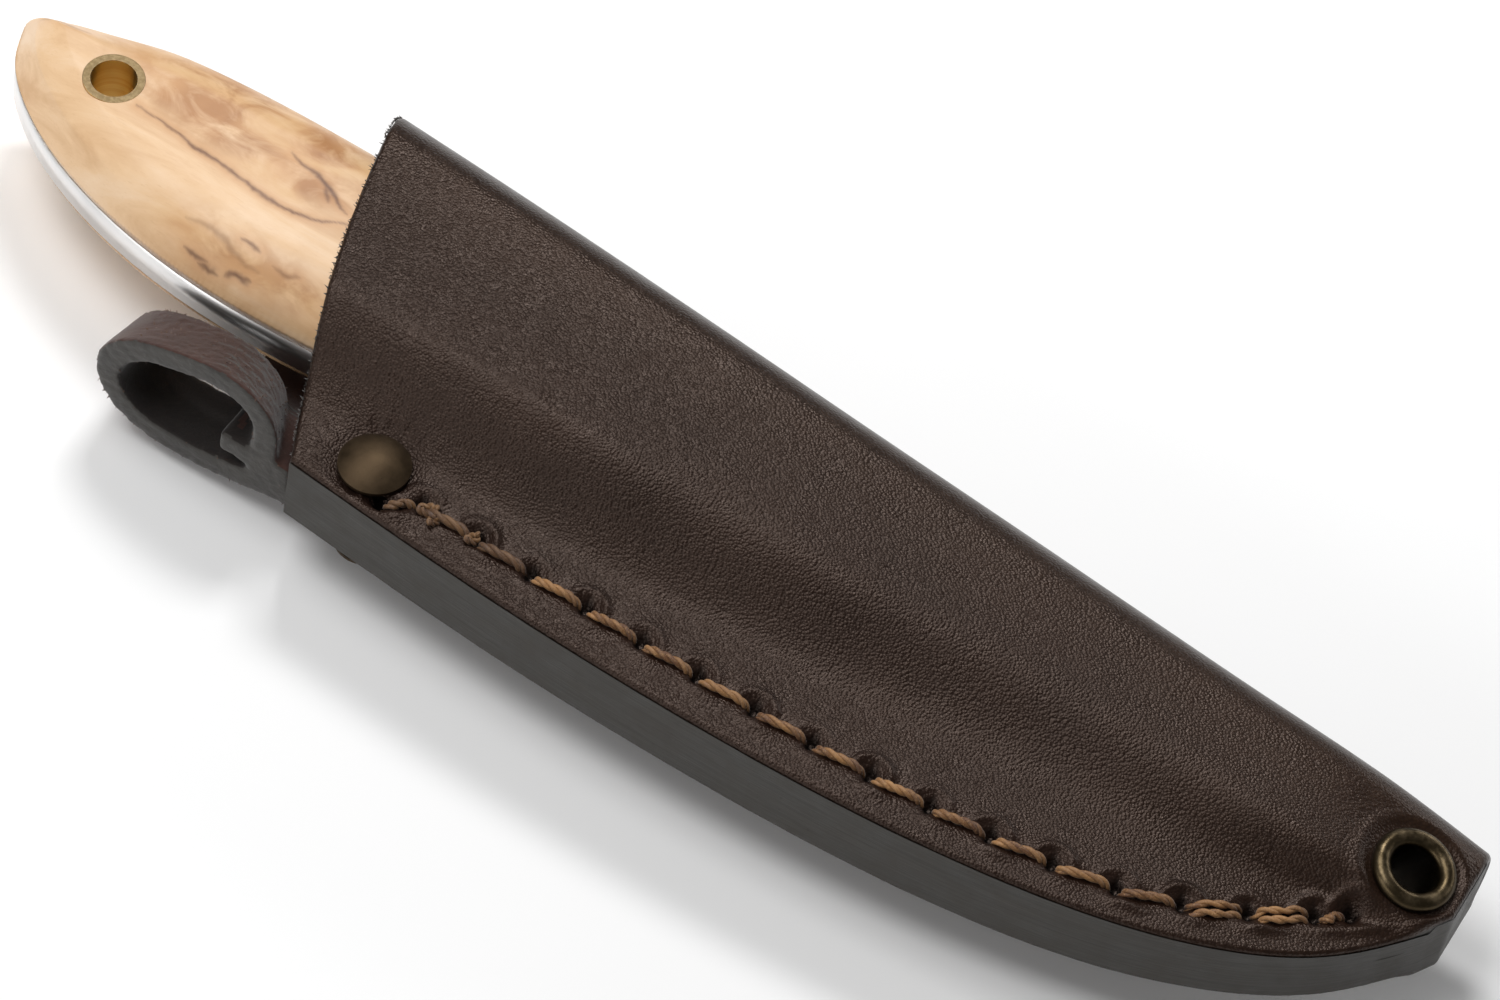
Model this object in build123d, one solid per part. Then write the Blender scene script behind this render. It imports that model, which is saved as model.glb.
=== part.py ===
"""Fixed-blade whittling knife in its folded leather pouch sheath.

Working frame, in millimetres: X runs from the butt of the handle to the tip of the sheath, Y from the
stitched edge of the sheath to its fold, and Z out of the front face. Z = 0 is the middle of the blade's
thickness. The finished pieces are moved so that the origin is under the middle of the whole object.
"""
from build123d import *
import os

# ---- knife -------------------------------------------------------------------------------------
BLADE_THICKNESS = 4.0        # flat steel that runs the whole length of the handle
BUTT_TIP = (-98.8, 5.0)      # pointed corner of the handle
HANDLE_FRONT_X = -3.0        # where the wood stops and the bare blade begins
HANDLE_THICKNESS = 17.0      # over both scales
HANDLE_FRONT_THICKNESS = 13.4
HANDLE_TAPER_X = -52.0       # where the handle starts to thin towards the blade
BUTT_ROUNDING = 14.0         # stretch of the butt over which the scales also draw in lengthwise
SCALE_INSET = 4.2            # how far a scale's outer face lies inside its foot on the tang
SCALE_EDGE_RADIUS = 2.4      # rounding between a scale's slanting side and its face
HEEL_X = 4.0                 # start of the sharpened edge
BLADE_TIP = (67.0, -1.0)
BEVEL_WIDTH = 8.5            # height of the ground bevel above the cutting edge
EDGE_THICKNESS = 0.3         # steel left at the cutting edge
LANYARD_XY = (-84.0, 0.4)
LANYARD_TUBE_DIAMETER = 6.9
LANYARD_BORE_DIAMETER = 5.2
PIN_DIAMETER = 5.0
PIN_PLACES = [(-44.0, -0.6), (-15.0, -0.8)]
PIN_REACHES = [8.3, 7.3]     # half lengths, just short of the scales' faces
GLUE_GAP = 0.03              # between a pin or tube and its hole

# ---- sheath ------------------------------------------------------------------------------------
LEATHER = 3.0                # thickness of the hide
SHEATH_TIP_X = 88.4
WELT_THICKNESS = 4.02        # before the panels press it into their 4 mm gap
RIVET_XY = (-33.2, -24.0)
RIVET_CAP_DIAMETER = 8.0
RIVET_CAP_HEIGHT = 1.7
RIVET_RIM_HEIGHT = 0.4
RIVET_FRONT_Z = 5.0          # seat of the front cap
RIVET_BACK_Z = -8.0          # seat of the back cap, pressed a little into the strap's tail
RIVET_BACK_SIZE = 0.84       # size of the back cap as a share of the front one
RIVET_SLEEVE_DIAMETER = 3.6
RIVET_POST_DIAMETER = 2.6
EYELET_CENTRE = (82.4, -2.6, 5.5)
EYELET_TILT = 14.0           # degrees that the eyelet leans towards the tip, square to the sloping front
EYELET_FLANGE_DIAMETER = 9.6
EYELET_BARREL_DIAMETER = 6.4
EYELET_BORE_DIAMETER = 5.4
EYELET_FLANGE_HEIGHT = 1.2
EYELET_REACH = 10.8          # from the front flange's seat to the washer's seat
WASHER_THICKNESS = 0.6
HOLE_DIAMETER = 1.7          # awl holes of the seam
THREAD_DIAMETER = 1.2
THREAD_LIFT = 0.1            # slack between the leather and a stitch
STITCH_COUNT = 15

# ---- belt loop ---------------------------------------------------------------------------------
STRAP_THICKNESS = 3.2
STRAP_NEAR_Y = -25.6
STRAP_FAR_Y = -16.5
STRAP_NEAR_LINE = [          # centre line at the near edge, x and z, from the root over the loop to the tail
    (-45.8, -3.4), (-45.8, 0.0), (-46.2, 3.2), (-49.6, 6.2), (-57.0, 5.6), (-63.6, 2.6),
    (-66.2, -2.8), (-63.4, -7.4), (-57.0, -8.8), (-50.0, -8.0), (-44.0, -6.7),
]
STRAP_FAR_LINE = [           # the same at the far edge, which lies lower, along the swell of the pouch
    (-49.9, -6.8), (-50.0, -4.4), (-50.6, -1.9), (-53.4, 0.4), (-59.0, 0.1), (-64.4, -2.0),
    (-66.6, -5.8), (-64.2, -9.1), (-58.6, -10.1), (-53.0, -9.9), (-48.2, -9.5),
]
TAIL_GAP = 0.1
TAIL_FAR_Y = -18.5
TAIL_END_X = -28.2
TAIL_CORNER_RADIUS = 3.0

# One row for each station along the pouch:
# x, fold y, fold depth, front height, back height, front edge z, back edge z, rise start y, rise end y
STATIONS = [
    (-64.0, 18.3, 8.0, 12.2, 12.0, 5.0, 5.0, -22.5, -10.0),
    (-40.0, 16.6, 8.0, 12.1, 12.0, 5.0, 5.0, -22.5, -10.0),
    (-15.0, 14.7, 7.4, 11.8, 11.6, 5.0, 5.0, -22.0, -10.0),
    (10.0, 13.1, 7.0, 10.4, 10.0, 5.0, 5.0, -20.5, -8.5),
    (35.0, 11.5, 6.6, 8.9, 7.6, 5.0, 5.0, -18.5, -5.0),
    (60.0, 9.3, 6.0, 8.1, 5.3, 4.8, 4.7, -15.0, -5.0),
    (76.0, 7.9, 5.2, 7.2, 4.7, 4.2, 4.3, -10.8, -6.5),
    (94.0, 7.0, 4.4, 2.6, 6.4, 3.1, 5.2, -8.5, -5.5),
]
BEZIER_QUARTER = 0.5523      # handle length of a Bezier curve that follows a quarter ellipse
OFFSET_SHIFT = 0.32          # sideways move of the rise for each millimetre of offset


def cylinder_z(place, diameter, low, high):
    """Upright cylinder between two heights."""
    tall = Cylinder(diameter / 2, high - low, align=(Align.CENTER, Align.CENTER, Align.MIN))
    return Pos(place[0], place[1], low) * tall


# ---- outlines ----------------------------------------------------------------------------------
def handle_curves(inset=0.0):
    """Belly and spine of the handle, from the butt corner to the front of the wood, moved in by the inset."""
    belly = [BUTT_TIP, (-97.4, 1.2), (-92.5, -4.1), (-80.0, -10.4), (-58.0, -13.8), (-38.0, -12.7),
             (-22.0, -12.0), (HANDLE_FRONT_X, -12.8)]
    spine = [BUTT_TIP, (-95.4, 7.6), (-89.4, 9.3), (-82.8, 10.7), (-73.5, 11.8), (-57.9, 12.2),
             (-40.0, 11.8), (-20.0, 10.7), (HANDLE_FRONT_X, 9.9)]
    curves = []
    for points, middle in ((belly, BUTT_TIP[1]), (spine, BUTT_TIP[1])):
        moved = []
        for x, y in points:
            ahead = max(0.0, 1 - (x - BUTT_TIP[0]) / BUTT_ROUNDING)
            sideways = inset * min(1.0, (y - middle) / 6.0) if y > middle else -inset * min(1.0, (middle - y) / 6.0)
            moved.append((x + inset * ahead, y - sideways))
        curves.append(Spline(*moved))
    return curves


def handle_face(inset=0.0):
    belly, spine = handle_curves(inset)
    return make_face([belly, Line(belly @ 1, spine @ 1), spine])


def blade_face(inset):
    """Bare blade, with its cutting edge moved up by the inset."""
    belly, spine = handle_curves()
    heel = (HEEL_X, -12.9 + inset)
    point = (BLADE_TIP[0] - inset * 0.9, BLADE_TIP[1])
    edge = Spline(heel, (34.0, -11.6 + inset), (54.0, -7.2 + inset * 0.92), point)
    back = Spline(edge @ 1, (52.0 - inset * 0.3, 4.6), (30.0, 8.4), spine @ 1)
    ricasso = [Line(spine @ 1, belly @ 1), Line(belly @ 1, heel)]
    return make_face([edge, back] + ricasso)


def sheath_outline():
    """Plan of the flat stitched stack: mouth, stitched edge, tip, and a side left open past the fold."""
    mouth = ThreePointArc((-57.2, 22.0), (-50.6, -4.5), (-40.9, -28.5))
    seam_edge = Spline(mouth @ 1, (-12.0, -30.8), (13.0, -31.3), (47.6, -28.7), (68.2, -23.0), (80.1, -15.4),
                       (SHEATH_TIP_X - 1.2, -6.4))
    tip = Polyline(seam_edge @ 1, (SHEATH_TIP_X, -4.0), (SHEATH_TIP_X - 0.9, 22.0), mouth @ 0)
    return make_face([mouth, seam_edge, tip])


def welt_inner_edge():
    """Inner edge of the welt, a little outside the path of the knife."""
    return Spline((-46.0, -20.5), (-20.0, -19.5), (4.0, -15.6), (32.0, -14.4), (54.0, -10.6), (69.0, -3.6),
                  (75.0, 6.0))


def stitch_places():
    """Awl holes, evenly spaced along a line that follows the stitched edge."""
    line = Spline((-26.4, -25.2), (10.0, -26.2), (47.0, -24.6), (64.0, -20.4), (76.4, -12.8))
    pitch = line.length / STITCH_COUNT
    run = [line.position_at(i * pitch, position_mode=PositionMode.LENGTH) for i in range(STITCH_COUNT + 1)]
    return [(-30.2, -27.6)] + [(p.X, p.Y) for p in run] + [(79.4, -10.4)]


def edge_height(x, column):
    """Height of the flat band at x, between the stations' front (5) or back (6) edge heights."""
    for low, high in zip(STATIONS, STATIONS[1:]):
        if low[0] <= x <= high[0]:
            share = (x - low[0]) / (high[0] - low[0])
            return low[column] + share * (high[column] - low[column])
    return STATIONS[-1][column]


# ---- knife pieces ------------------------------------------------------------------------------
def handle_holes():
    """Holes for the lanyard tube and the pins, through both scales and the tang."""
    reach = HANDLE_THICKNESS
    holes = [cylinder_z(LANYARD_XY, LANYARD_TUBE_DIAMETER + 2 * GLUE_GAP, -reach, reach)]
    holes += [cylinder_z(place, PIN_DIAMETER + 2 * GLUE_GAP, -reach, reach) for place in PIN_PLACES]
    return holes


def blade():
    """Full tang and blade in one, with a flat bevel ground on both sides of the edge."""
    half = BLADE_THICKNESS / 2
    tang = extrude(Pos(0, 0, -half) * handle_face(), BLADE_THICKNESS)
    sides = []
    for side in (1, -1):
        at_edge = Pos(0, 0, side * EDGE_THICKNESS / 2) * blade_face(0.0)
        at_flat = Pos(0, 0, side * half) * blade_face(BEVEL_WIDTH)
        sides.append(loft([at_edge, at_flat], ruled=True))
    core = extrude(Pos(0, 0, -EDGE_THICKNESS / 2) * blade_face(0.0), EDGE_THICKNESS)
    steel = tang + core + sides[0] + sides[1]
    for hole in handle_holes():
        steel -= hole
    return steel


def scale(side):
    """One wooden handle slab, its sides leaning in from the tang and rounded over to its outer face."""
    low = BLADE_THICKNESS / 2
    high = HANDLE_THICKNESS / 2
    front_high = HANDLE_FRONT_THICKNESS / 2
    top = Spline((BUTT_TIP[0] - 5, high), (HANDLE_TAPER_X, high), (HANDLE_FRONT_X + 5, front_high),
                 tangents=[(1, 0), (1, -0.12)])
    foot = Polyline(top @ 1, (HANDLE_FRONT_X + 5, 0), (BUTT_TIP[0] - 5, 0), top @ 0)
    profile = extrude(Plane.XZ.offset(-30) * make_face([top, foot]), 60)
    foot_face = Pos(0, 0, low) * handle_face()
    outer_face = Pos(0, 0, high) * handle_face(SCALE_INSET)
    slab = loft([foot_face, outer_face], ruled=True) & profile
    crown = slab.faces().sort_by(Axis.Z)[-1]
    slab = fillet([edge for edge in crown.edges() if edge.center().X < HANDLE_FRONT_X - 3], SCALE_EDGE_RADIUS)
    if side < 0:
        slab = mirror(slab, about=Plane.XY)
    for hole in handle_holes():
        slab -= hole
    return slab


def lanyard_tube():
    reach = HANDLE_THICKNESS / 2
    outer = cylinder_z(LANYARD_XY, LANYARD_TUBE_DIAMETER, -reach, reach)
    return outer - cylinder_z(LANYARD_XY, LANYARD_BORE_DIAMETER, -reach - 1, reach + 1)


def handle_pins():
    """Two plain pins that lock the scales to the tang, cut off just below the wood."""
    pins = []
    for place, reach in zip(PIN_PLACES, PIN_REACHES):
        pins.append(cylinder_z(place, PIN_DIAMETER, -reach, reach))
    return Compound(pins)


# ---- sheath pieces -----------------------------------------------------------------------------
def pouch_section(station, offset):
    """Closed section of the folded hide at one station, grown outwards by the offset."""
    x, fold, depth, front, back, front_edge, back_edge, rise_start, rise_end = station
    ridge = fold - depth
    depth = depth + offset
    shift = -OFFSET_SHIFT * offset
    lines = []
    for sign, top, rim in ((1, front, front_edge), (-1, back, back_edge)):
        top = sign * (top + offset)
        rim = sign * (rim + offset)
        start = rise_start + shift
        end = rise_end + shift
        reach = 0.42 * (end - start)
        half = [
            Line((-45.0, rim), (start, rim)),
            Bezier((start, rim), (start + reach, rim), (end - reach, top), (end, top)),
            Line((end, top), (ridge, top)),
            Bezier((ridge, top), (ridge + BEZIER_QUARTER * depth, top),
                   (ridge + depth, BEZIER_QUARTER * top), (ridge + depth, 0.0)),
        ]
        lines.append(half)
    seam = Line((-45.0, -(back_edge + offset)), (-45.0, front_edge + offset))
    profile = lines[0] + lines[1][::-1] + [seam]
    return Plane.YZ.offset(x) * make_face(profile)


def pouch(offset):
    """Solid inside a surface that follows the hide at the given offset from its outer face."""
    return loft([pouch_section(station, offset) for station in STATIONS])


def eyelet_place():
    """Frame of the eyelet: its origin on the flange's seat, its Z axis out of the front."""
    return Pos(*EYELET_CENTRE) * Rot(0, EYELET_TILT, 0)


def stack_holes():
    """Everything that is punched through the stitched stack."""
    reach = 20.0
    holes = [cylinder_z(place, HOLE_DIAMETER, -reach, reach) for place in stitch_places()]
    holes.append(cylinder_z(RIVET_XY, RIVET_SLEEVE_DIAMETER + 0.1, -reach, reach))
    holes.append(cylinder_z(RIVET_XY, RIVET_CAP_DIAMETER + 0.2, RIVET_FRONT_Z, reach))
    barrel = Cylinder(EYELET_BARREL_DIAMETER / 2 + 0.05, 2 * reach)
    front_seat = Pos(0, 0, 5.0) * Cylinder(EYELET_FLANGE_DIAMETER / 2 + 0.2, 10.0)
    back_seat = Pos(0, 0, -EYELET_REACH - 5.0) * Cylinder(EYELET_FLANGE_DIAMETER / 2 + 0.2, 10.0)
    holes += [eyelet_place() * tool for tool in (barrel, front_seat, back_seat)]
    return holes


def sheath_leather(outer, inner):
    """One hide folded at the spine side: front panel, fold and back panel."""
    plan = extrude(Pos(0, 0, -20) * sheath_outline(), 40)
    hide = (outer - inner) & plan
    for hole in stack_holes():
        hide -= hole
    return hide


def welt(inner):
    """Spacer strip between the panels that keeps the cutting edge off the thread."""
    inner_edge = welt_inner_edge()
    far_side = Polyline(inner_edge @ 1, (100.0, 8.0), (100.0, -45.0), (-46.0, -45.0), inner_edge @ 0)
    strip = make_face([inner_edge, far_side]) & sheath_outline()
    half = WELT_THICKNESS / 2
    piece = extrude(Pos(0, 0, -half) * strip, WELT_THICKNESS) & inner
    for hole in stack_holes():
        piece -= hole
    return piece


def block(low, high):
    """Upright box between two corners."""
    size = [b - a for a, b in zip(low, high)]
    return Pos(*low) * Box(*size, align=(Align.MIN, Align.MIN, Align.MIN))


def ribbon(centres, y):
    """Side view of a strap of constant thickness that follows the centre points, in the plane at y."""
    points = [Vector(x, 0, z) for x, z in centres]
    outer_side = []
    inner_side = []
    for i, point in enumerate(points):
        along = (points[min(i + 1, len(points) - 1)] - points[max(i - 1, 0)]).normalized()
        across = Vector(-along.Z, 0, along.X) * (STRAP_THICKNESS / 2)
        outer_side.append(point + across + Vector(0, y, 0))
        inner_side.append(point - across + Vector(0, y, 0))
    outer_curve = Spline(*outer_side)
    inner_curve = Spline(*inner_side)
    ends = [Line(outer_curve @ 0, inner_curve @ 0), Line(outer_curve @ 1, inner_curve @ 1)]
    return make_face([outer_curve, inner_curve] + ends)


def belt_loop(outer, inner):
    """Strap that carries on from the back panel, turns over beyond the mouth and is riveted behind it."""
    ring = loft([ribbon(STRAP_NEAR_LINE, STRAP_NEAR_Y), ribbon(STRAP_FAR_LINE, STRAP_FAR_Y)], ruled=True)
    plan = extrude(Pos(0, 0, -20) * sheath_outline(), 40)
    post_x = STRAP_FAR_LINE[0][0] - STRAP_THICKNESS / 2
    root = ((outer - inner) & block((post_x, STRAP_NEAR_Y, -14), (-30, STRAP_FAR_Y, 0))) - plan
    tail_plan = Rectangle(TAIL_END_X + 48.0, TAIL_FAR_Y - STRAP_NEAR_Y, align=(Align.MIN, Align.MIN))
    tail_plan = fillet(tail_plan.vertices().sort_by(Axis.X)[-2:], TAIL_CORNER_RADIUS)
    tail_block = extrude(Pos(-48.0, STRAP_NEAR_Y, -16) * tail_plan, 16)
    tail = (pouch(TAIL_GAP + STRAP_THICKNESS) - pouch(TAIL_GAP)) & tail_block
    keep_out = pouch(TAIL_GAP) & block((-52, -40, -14), (-20, 0, -1)) & plan
    ring = ring - plan - keep_out
    loop = ring + root + tail
    loop -= cylinder_z(RIVET_XY, RIVET_SLEEVE_DIAMETER + 0.1, -20, 0)
    loop -= cylinder_z(RIVET_XY, RIVET_CAP_DIAMETER * RIVET_BACK_SIZE + 0.2, -20, RIVET_BACK_Z)
    return loop


def domed_cap(size=1.0):
    """Low dome on a thin rim, standing on the XY plane."""
    radius = RIVET_CAP_DIAMETER / 2 * size
    height = RIVET_CAP_HEIGHT * size
    rise = height - RIVET_RIM_HEIGHT
    ball = (radius ** 2 + rise ** 2) / (2 * rise)
    rim = Cylinder(radius, height, align=(Align.CENTER, Align.CENTER, Align.MIN))
    return rim & Pos(0, 0, height - ball) * Sphere(ball)


def rivet_cap():
    """Front half of the rivet: dome and hollow sleeve."""
    x, y = RIVET_XY
    cap = Pos(x, y, RIVET_FRONT_Z) * domed_cap()
    sleeve = cylinder_z(RIVET_XY, RIVET_SLEEVE_DIAMETER, RIVET_BACK_Z + 1.0, RIVET_FRONT_Z)
    bore = cylinder_z(RIVET_XY, RIVET_POST_DIAMETER + 2 * GLUE_GAP, RIVET_BACK_Z, RIVET_FRONT_Z - 0.3)
    return cap + sleeve - bore


def rivet_post():
    """Back half of the rivet: dome and solid post."""
    x, y = RIVET_XY
    cap = Pos(x, y, RIVET_BACK_Z) * Rot(180, 0, 0) * domed_cap(RIVET_BACK_SIZE)
    return cap + cylinder_z(RIVET_XY, RIVET_POST_DIAMETER, RIVET_BACK_Z, RIVET_FRONT_Z - 0.5)


def eyelet():
    """Barrel with a rounded front flange, its far end rolled out over the washer."""
    bore = EYELET_BORE_DIAMETER / 2
    barrel = EYELET_BARREL_DIAMETER / 2
    rim = EYELET_FLANGE_DIAMETER / 2
    end = -EYELET_REACH - WASHER_THICKNESS
    roll = barrel + 1.1
    side = make_face([
        Line((bore, end - 0.7), (bore, 0.2)),
        ThreePointArc((bore, 0.2), ((bore + rim) / 2 - 0.1, EYELET_FLANGE_HEIGHT), (rim, 0.15)),
        Polyline((rim, 0.15), (rim, 0.0), (barrel, 0.0), (barrel, end)),
        Line((barrel, end), (roll, end)),
        ThreePointArc((roll, end), (barrel + 0.5, end - 0.75), (bore, end - 0.7)),
    ])
    return eyelet_place() * revolve(Plane.XZ * side, Axis.Z)


def eyelet_washer():
    """Flat ring under the rolled end of the eyelet, on the back."""
    ring = Cylinder(EYELET_FLANGE_DIAMETER / 2, WASHER_THICKNESS)
    ring -= Cylinder(EYELET_BARREL_DIAMETER / 2 + GLUE_GAP, WASHER_THICKNESS * 2)
    return eyelet_place() * Pos(0, 0, -EYELET_REACH - WASHER_THICKNESS / 2) * ring


def thread(side):
    """One of the two threads: a stitch from hole to hole on its own face, and a leg down into each hole."""
    column = 5 if side > 0 else 6
    radius = THREAD_DIAMETER / 2
    tops = [Vector(x, y, side * (edge_height(x, column) + radius + THREAD_LIFT)) for x, y in stitch_places()]
    piece = None
    for start, end in zip(tops, tops[1:]):
        run = end - start
        bar = Plane(start, z_dir=run) * Cylinder(radius, run.length, align=(Align.CENTER, Align.CENTER, Align.MIN))
        piece = bar if piece is None else piece + bar
    for top in tops:
        leg = cylinder_z((top.X, top.Y), THREAD_DIAMETER, min(0, top.Z), max(0, top.Z))
        piece = piece + leg + Pos(*top) * Sphere(radius)
    return piece


def export(name, shape, place):
    moved = place * shape
    moved.label = name
    export_step(moved, os.path.join("parts", name + ".step"))


def main():
    outer = pouch(0.0)
    inner = pouch(-LEATHER)
    pieces = {
        "blade": blade(),
        "front_scale": scale(1),
        "back_scale": scale(-1),
        "lanyard_tube": lanyard_tube(),
        "handle_pins": handle_pins(),
        "sheath_leather": sheath_leather(outer, inner),
        "welt": welt(inner),
        "belt_loop": belt_loop(outer, inner),
        "rivet_cap": rivet_cap(),
        "rivet_post": rivet_post(),
        "eyelet": eyelet(),
        "eyelet_washer": eyelet_washer(),
        "front_thread": thread(1),
        "back_thread": thread(-1),
    }
    boxes = [shape.bounding_box() for shape in pieces.values()]
    middle_x = (min(box.min.X for box in boxes) + max(box.max.X for box in boxes)) / 2
    middle_y = (min(box.min.Y for box in boxes) + max(box.max.Y for box in boxes)) / 2
    lowest = min(box.min.Z for box in boxes)
    origin = Pos(-middle_x, -middle_y, -lowest)
    os.makedirs("parts", exist_ok=True)
    for name, shape in pieces.items():
        export(name, shape, origin)
        print(name, shape.is_valid, round(shape.volume, 1), len(shape.solids()))
    print("origin moved by", origin.position)


main()
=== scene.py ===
import math

import bpy
import numpy as np
from mathutils import Matrix, Vector, noise


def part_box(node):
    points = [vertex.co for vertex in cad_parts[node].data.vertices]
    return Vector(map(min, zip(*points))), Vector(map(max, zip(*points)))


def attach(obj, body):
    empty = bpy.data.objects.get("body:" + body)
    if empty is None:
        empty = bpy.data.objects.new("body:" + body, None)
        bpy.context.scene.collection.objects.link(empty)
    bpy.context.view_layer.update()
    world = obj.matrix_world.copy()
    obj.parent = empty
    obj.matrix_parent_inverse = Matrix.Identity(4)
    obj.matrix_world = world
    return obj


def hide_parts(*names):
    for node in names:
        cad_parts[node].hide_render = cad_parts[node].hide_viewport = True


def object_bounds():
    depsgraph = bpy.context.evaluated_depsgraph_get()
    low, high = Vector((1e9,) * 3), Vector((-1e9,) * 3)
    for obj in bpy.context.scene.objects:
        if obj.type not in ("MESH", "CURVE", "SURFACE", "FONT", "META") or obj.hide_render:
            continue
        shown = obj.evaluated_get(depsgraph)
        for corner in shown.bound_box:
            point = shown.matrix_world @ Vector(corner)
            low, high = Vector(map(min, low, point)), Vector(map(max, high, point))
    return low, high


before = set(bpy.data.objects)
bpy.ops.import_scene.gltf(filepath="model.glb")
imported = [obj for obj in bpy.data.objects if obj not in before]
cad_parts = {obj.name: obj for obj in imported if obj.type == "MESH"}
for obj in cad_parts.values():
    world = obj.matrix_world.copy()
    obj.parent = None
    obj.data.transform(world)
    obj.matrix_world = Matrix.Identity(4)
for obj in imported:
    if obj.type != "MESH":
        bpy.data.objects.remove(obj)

CAD_BOUNDS = [list(corner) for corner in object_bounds()]

# Shapes below are in millimetres in the knife's own frame: X from butt to sheath tip, Y from the stitched
# edge to the fold, Z out of the front, zero at the middle of the blade's thickness. The lanyard tube ties
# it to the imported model.
TUBE_XY = (-84.0, 0.4)
TUBE_LOW, TUBE_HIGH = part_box("lanyard_tube")
SHIFT = np.array((TUBE_LOW + TUBE_HIGH) / 2) * 1000 - np.array([*TUBE_XY, 0.0])

# x, fold y, fold depth, front height, back height, front edge z, back edge z, rise start y, rise end y
STATIONS = np.array([
    (-64.0, 18.0, 8.0, 12.2, 12.0, 5.0, 5.0, -22.5, -10.0),
    (-40.0, 16.4, 8.0, 12.1, 12.0, 5.0, 5.0, -22.5, -10.0),
    (-15.0, 14.3, 7.4, 11.8, 11.6, 5.0, 5.0, -22.0, -10.0),
    (10.0, 12.6, 7.0, 10.4, 10.0, 5.0, 5.0, -20.5, -8.5),
    (35.0, 11.0, 6.6, 8.9, 7.6, 5.0, 5.0, -18.5, -5.0),
    (60.0, 9.0, 6.0, 8.1, 5.3, 4.8, 4.7, -15.0, -5.0),
    (76.0, 7.8, 5.2, 7.2, 4.7, 4.2, 4.3, -10.8, -6.5),
    (94.0, 6.6, 4.4, 2.6, 6.4, 3.1, 5.2, -8.5, -5.5),
])
LEATHER = 3.0
SEAM_EDGE = [(-40.9, -28.5), (-12.0, -30.8), (13.0, -31.3), (47.6, -28.7), (68.2, -23.0), (80.1, -15.4),
             (87.2, -6.4)]
MOUTH_ARC = [(-57.2, 22.0), (-50.6, -4.5), (-40.9, -28.5)]
STITCH_LINE = [(-26.4, -25.2), (10.0, -26.2), (47.0, -24.6), (64.0, -20.4), (76.4, -12.8)]
STITCH_COUNT = 15
RIVET = (-33.2, -24.0)
EYELET = (82.4, -2.6, 5.5)
EYELET_TILT = math.radians(14.0)

BELLY = [(-98.8, 5.0), (-97.4, 1.2), (-92.5, -4.1), (-80.0, -10.4), (-58.0, -13.8), (-38.0, -12.7),
         (-22.0, -12.0), (-3.0, -12.8)]
SPINE = [(-98.8, 5.0), (-95.4, 7.6), (-89.4, 9.3), (-82.8, 10.7), (-73.5, 11.8), (-57.9, 12.2), (-40.0, 11.8),
         (-20.0, 10.7), (-3.0, 9.9)]
HANDLE_HOLES = [(TUBE_XY, 3.48), ((-44.0, -0.6), 2.53), ((-15.0, -0.8), 2.53)]  # centre, radius
PLY_SIDES = 7                # corners round one ply of a thread
FIBRE_COUNT = 520            # loose fibres at the mouth, and as many on the strap
STRAP_NEAR_Y, STRAP_WIDTH = -25.6, 9.1


# ---- curves ----
def spline(knots, values, places):
    """Natural cubic spline through values at knots, read at places."""
    count = len(knots)
    gaps = np.diff(knots)
    system = np.eye(count)
    right = np.zeros((count, values.shape[1]))
    for i in range(1, count - 1):
        system[i, i - 1:i + 2] = gaps[i - 1], 2 * (gaps[i - 1] + gaps[i]), gaps[i]
        right[i] = 6 * ((values[i + 1] - values[i]) / gaps[i] - (values[i] - values[i - 1]) / gaps[i - 1])
    bend = np.linalg.solve(system, right)
    flat = np.clip(np.asarray(places, float).ravel(), knots[0], knots[-1])
    k = np.clip(np.searchsorted(knots, flat, side="right") - 1, 0, count - 2)
    gap = gaps[k][:, None]
    after = (flat - knots[k])[:, None]
    before = gap - after
    return ((bend[k] * before ** 3 + bend[k + 1] * after ** 3) / (6 * gap)
            + (values[k] / gap - bend[k] * gap / 6) * before
            + (values[k + 1] / gap - bend[k + 1] * gap / 6) * after)


def smooth_line(points, count):
    """Points evenly spread along a smooth line through the given ones."""
    points = np.array(points, float)
    lengths = np.concatenate([[0], np.cumsum(np.linalg.norm(np.diff(points, axis=0), axis=1))])
    return spline(lengths, points, np.linspace(0, lengths[-1], count))


def height_of(points):
    """Function y(x) of a smooth line that runs along +X."""
    line = smooth_line(points, 600)
    return lambda x: np.interp(x, line[:, 0], line[:, 1])


def distance_to(points, x, y):
    """Distance from each place to a polyline, and how far along the line the nearest point is (0 to 1)."""
    points = np.array(points, float)
    best = np.full(np.shape(x), 1e9)
    along = np.zeros(np.shape(x))
    for i, (a, b) in enumerate(zip(points, points[1:])):
        run = b - a
        share = np.clip(((x - a[0]) * run[0] + (y - a[1]) * run[1]) / (run @ run), 0, 1)
        gap = np.hypot(x - a[0] - share * run[0], y - a[1] - share * run[1])
        along = np.where(gap < best, (i + share) / (len(points) - 1), along)
        best = np.minimum(best, gap)
    return best, along


def bumps(x, y, z, size, seed):
    """Smooth random waves of the given size, about -1 to 1."""
    flat = np.stack(np.broadcast_arrays(x, y, z), -1).reshape(-1, 3) / size
    values = [noise.noise(Vector(p) + Vector((seed, 2.3 * seed, 0.7))) for p in flat]
    return np.array(values).reshape(np.shape(x))


# ---- meshes ----
def link(name, data):
    """Makes an object from its data and puts it in the scene."""
    made = bpy.data.objects.new(name, data)
    bpy.context.scene.collection.objects.link(made)
    return made


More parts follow.
